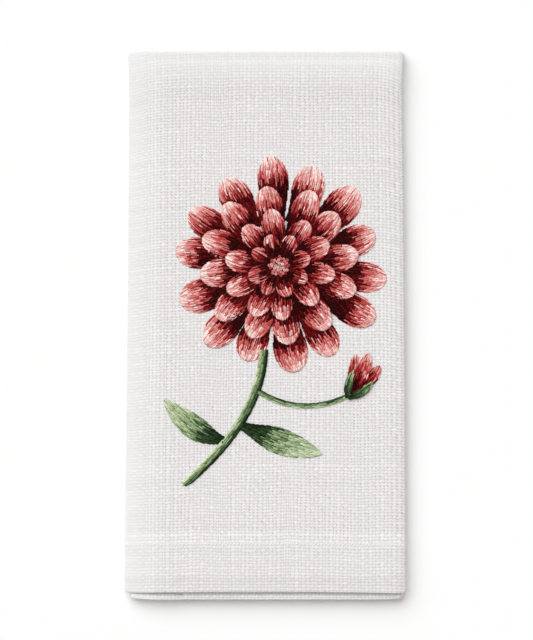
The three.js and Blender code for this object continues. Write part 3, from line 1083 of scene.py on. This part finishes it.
def sewing_cotton():
    """White mercerised sewing cotton, two-ply: smoother and whiter than the linen, with a
    twist that shows as slanting ridges."""
    material, add, shader = new_material("sewing_cotton")
    strand = add("UVMap", uv_map="strand")
    around, mm_along, _ = add("SeparateXYZ", (strand,)).outputs
    turn = add("Math", (mm_along, 1.4, around), "MULTIPLY_ADD")
    angle = add("Math", (turn, 4 * math.pi), "MULTIPLY")
    ridge = add("Math", (angle,), "SINE")
    # The twist's grooves are painted greyer and its crests whiter, as painted shade and light, in step
    # with the bump
    tone = add("MapRange", (ridge, -1.0, 1.0))
    shaded_cotton = {0: tone, 6: linear("#e6e4e2"), 7: linear("#f3f2f0")}
    colour = add("Mix", shaded_cotton, data_type="RGBA")
    bump = add("Bump", {"Height": ridge, "Strength": 0.5, "Distance": 0.04 * MM})
    set_inputs(shader, {"Base Color": colour, "Normal": bump, "Roughness": 0.6})
    return material


def rayon_floss():
    """Dyed rayon embroidery floss, of smooth parallel filaments with a slight twist: its deep
    dyes stay dark, with a faint gloss, and the filaments differ a little in tone."""
    material, add, shader = new_material("rayon_floss")
    dye = add("Attribute", attribute_name="dye")
    strand = add("UVMap", uv_map="strand")
    around, mm_along, _ = add("SeparateXYZ", (strand,)).outputs
    twist = add("Math", (mm_along, 0.35, around), "MULTIPLY_ADD")
    along = add("Math", (mm_along, 0.5), "MULTIPLY")
    lines = add("Math", (twist, 9.0), "MULTIPLY")
    filament_at = add("CombineXYZ", (lines, along))
    filament = add("TexNoise", {"Vector": filament_at, "Scale": 1.0, "Detail": 2.0})
    tone = add("MapRange", (filament, 0.3, 0.7, 0.82, 1.2))
    colour = add("VectorMath", {0: dye, "Scale": tone}, "SCALE")
    bump = add("Bump", {"Height": filament, "Strength": 0.5, "Distance": 0.06 * MM})
    finish = {"Base Color": colour, "Normal": bump, "Roughness": 0.5, "Specular IOR Level": 0.06}
    set_inputs(shader, finish)
    return material


def white_card():
    """Matt white background card, with a very fine tooth."""
    material, add, shader = new_material("white_card")
    place = add("TexCoord").outputs["Object"]
    tooth = add("TexNoise", {"Vector": place, "Scale": 900.0})
    card = {0: tooth, 6: linear("#f9f9f9"), 7: linear("#fbfbfb")}
    colour = add("Mix", card, data_type="RGBA")
    set_inputs(shader, {"Base Color": colour, "Roughness": 0.95, "Specular IOR Level": 0.1})
    return material


# Floor, light and camera

def make_floor(material):
    """A pale floor, just under the cloth."""
    reach, level = 4.0, -0.02 * MM
    points = [(x * reach, y * reach, level) for x, y in ((-1, -1), (1, -1), (1, 1), (-1, 1))]
    mesh = bpy.data.meshes.new("floor")
    mesh.from_pydata(points, [], [(0, 1, 2, 3)])
    mesh.materials.append(material)
    floor = add_object("floor", mesh)


def set_light():
    """A very wide, soft light from the upper left, more from above the napkin's top fold than
    from its left, and even light from all round, a little warmer, so that shade is warm."""
    light = bpy.data.lights.new("soft_light", "SUN")
    light.color = (0.967, 0.985, 1.0)
    light.energy = 2.51
    light.angle = math.radians(67)
    lamp = add_object("soft_light", light)
    lamp.location = (-0.4, 0.76, 1.0)
    lamp.rotation_euler = (-lamp.location).to_track_quat("-Z", "Y").to_euler()
    world = bpy.data.worlds.new("studio")
    world.use_nodes = True
    all_round = {"Color": (1.0, 0.98, 0.95, 1.0), "Strength": 0.455}
    set_inputs(world.node_tree.nodes["Background"], all_round)
    bpy.context.scene.world = world
    bpy.context.scene.view_settings.view_transform = "Standard"


def set_camera():
    """A camera that looks straight down, at the photograph's scale on the front panel."""
    camera = bpy.data.cameras.new("camera")
    seen = PICTURE_SIZE[1] * MM_PER_PIXEL
    camera.lens = camera.sensor_width * CAMERA_DISTANCE / seen
    camera.clip_end = 20
    camera_object = add_object("camera", camera)
    x, y = PICTURE_CENTRE
    camera_object.location = (x * MM, y * MM, CAD_BOX[1].z + CAMERA_DISTANCE * MM)
    bpy.context.scene.camera = camera_object


def build():
    cloth = make_cloth(bleached_linen())
    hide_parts(NODE)
    shaded_cotton = sewing_cotton()
    seams = [seam_mesh("front_hem_stitches", False, shaded_cotton), seam_mesh("back_hem_stitches", True, shaded_cotton)]
    stitched = make_embroidery(rayon_floss())
    make_floor(white_card())
    set_light()
    set_camera()


build()
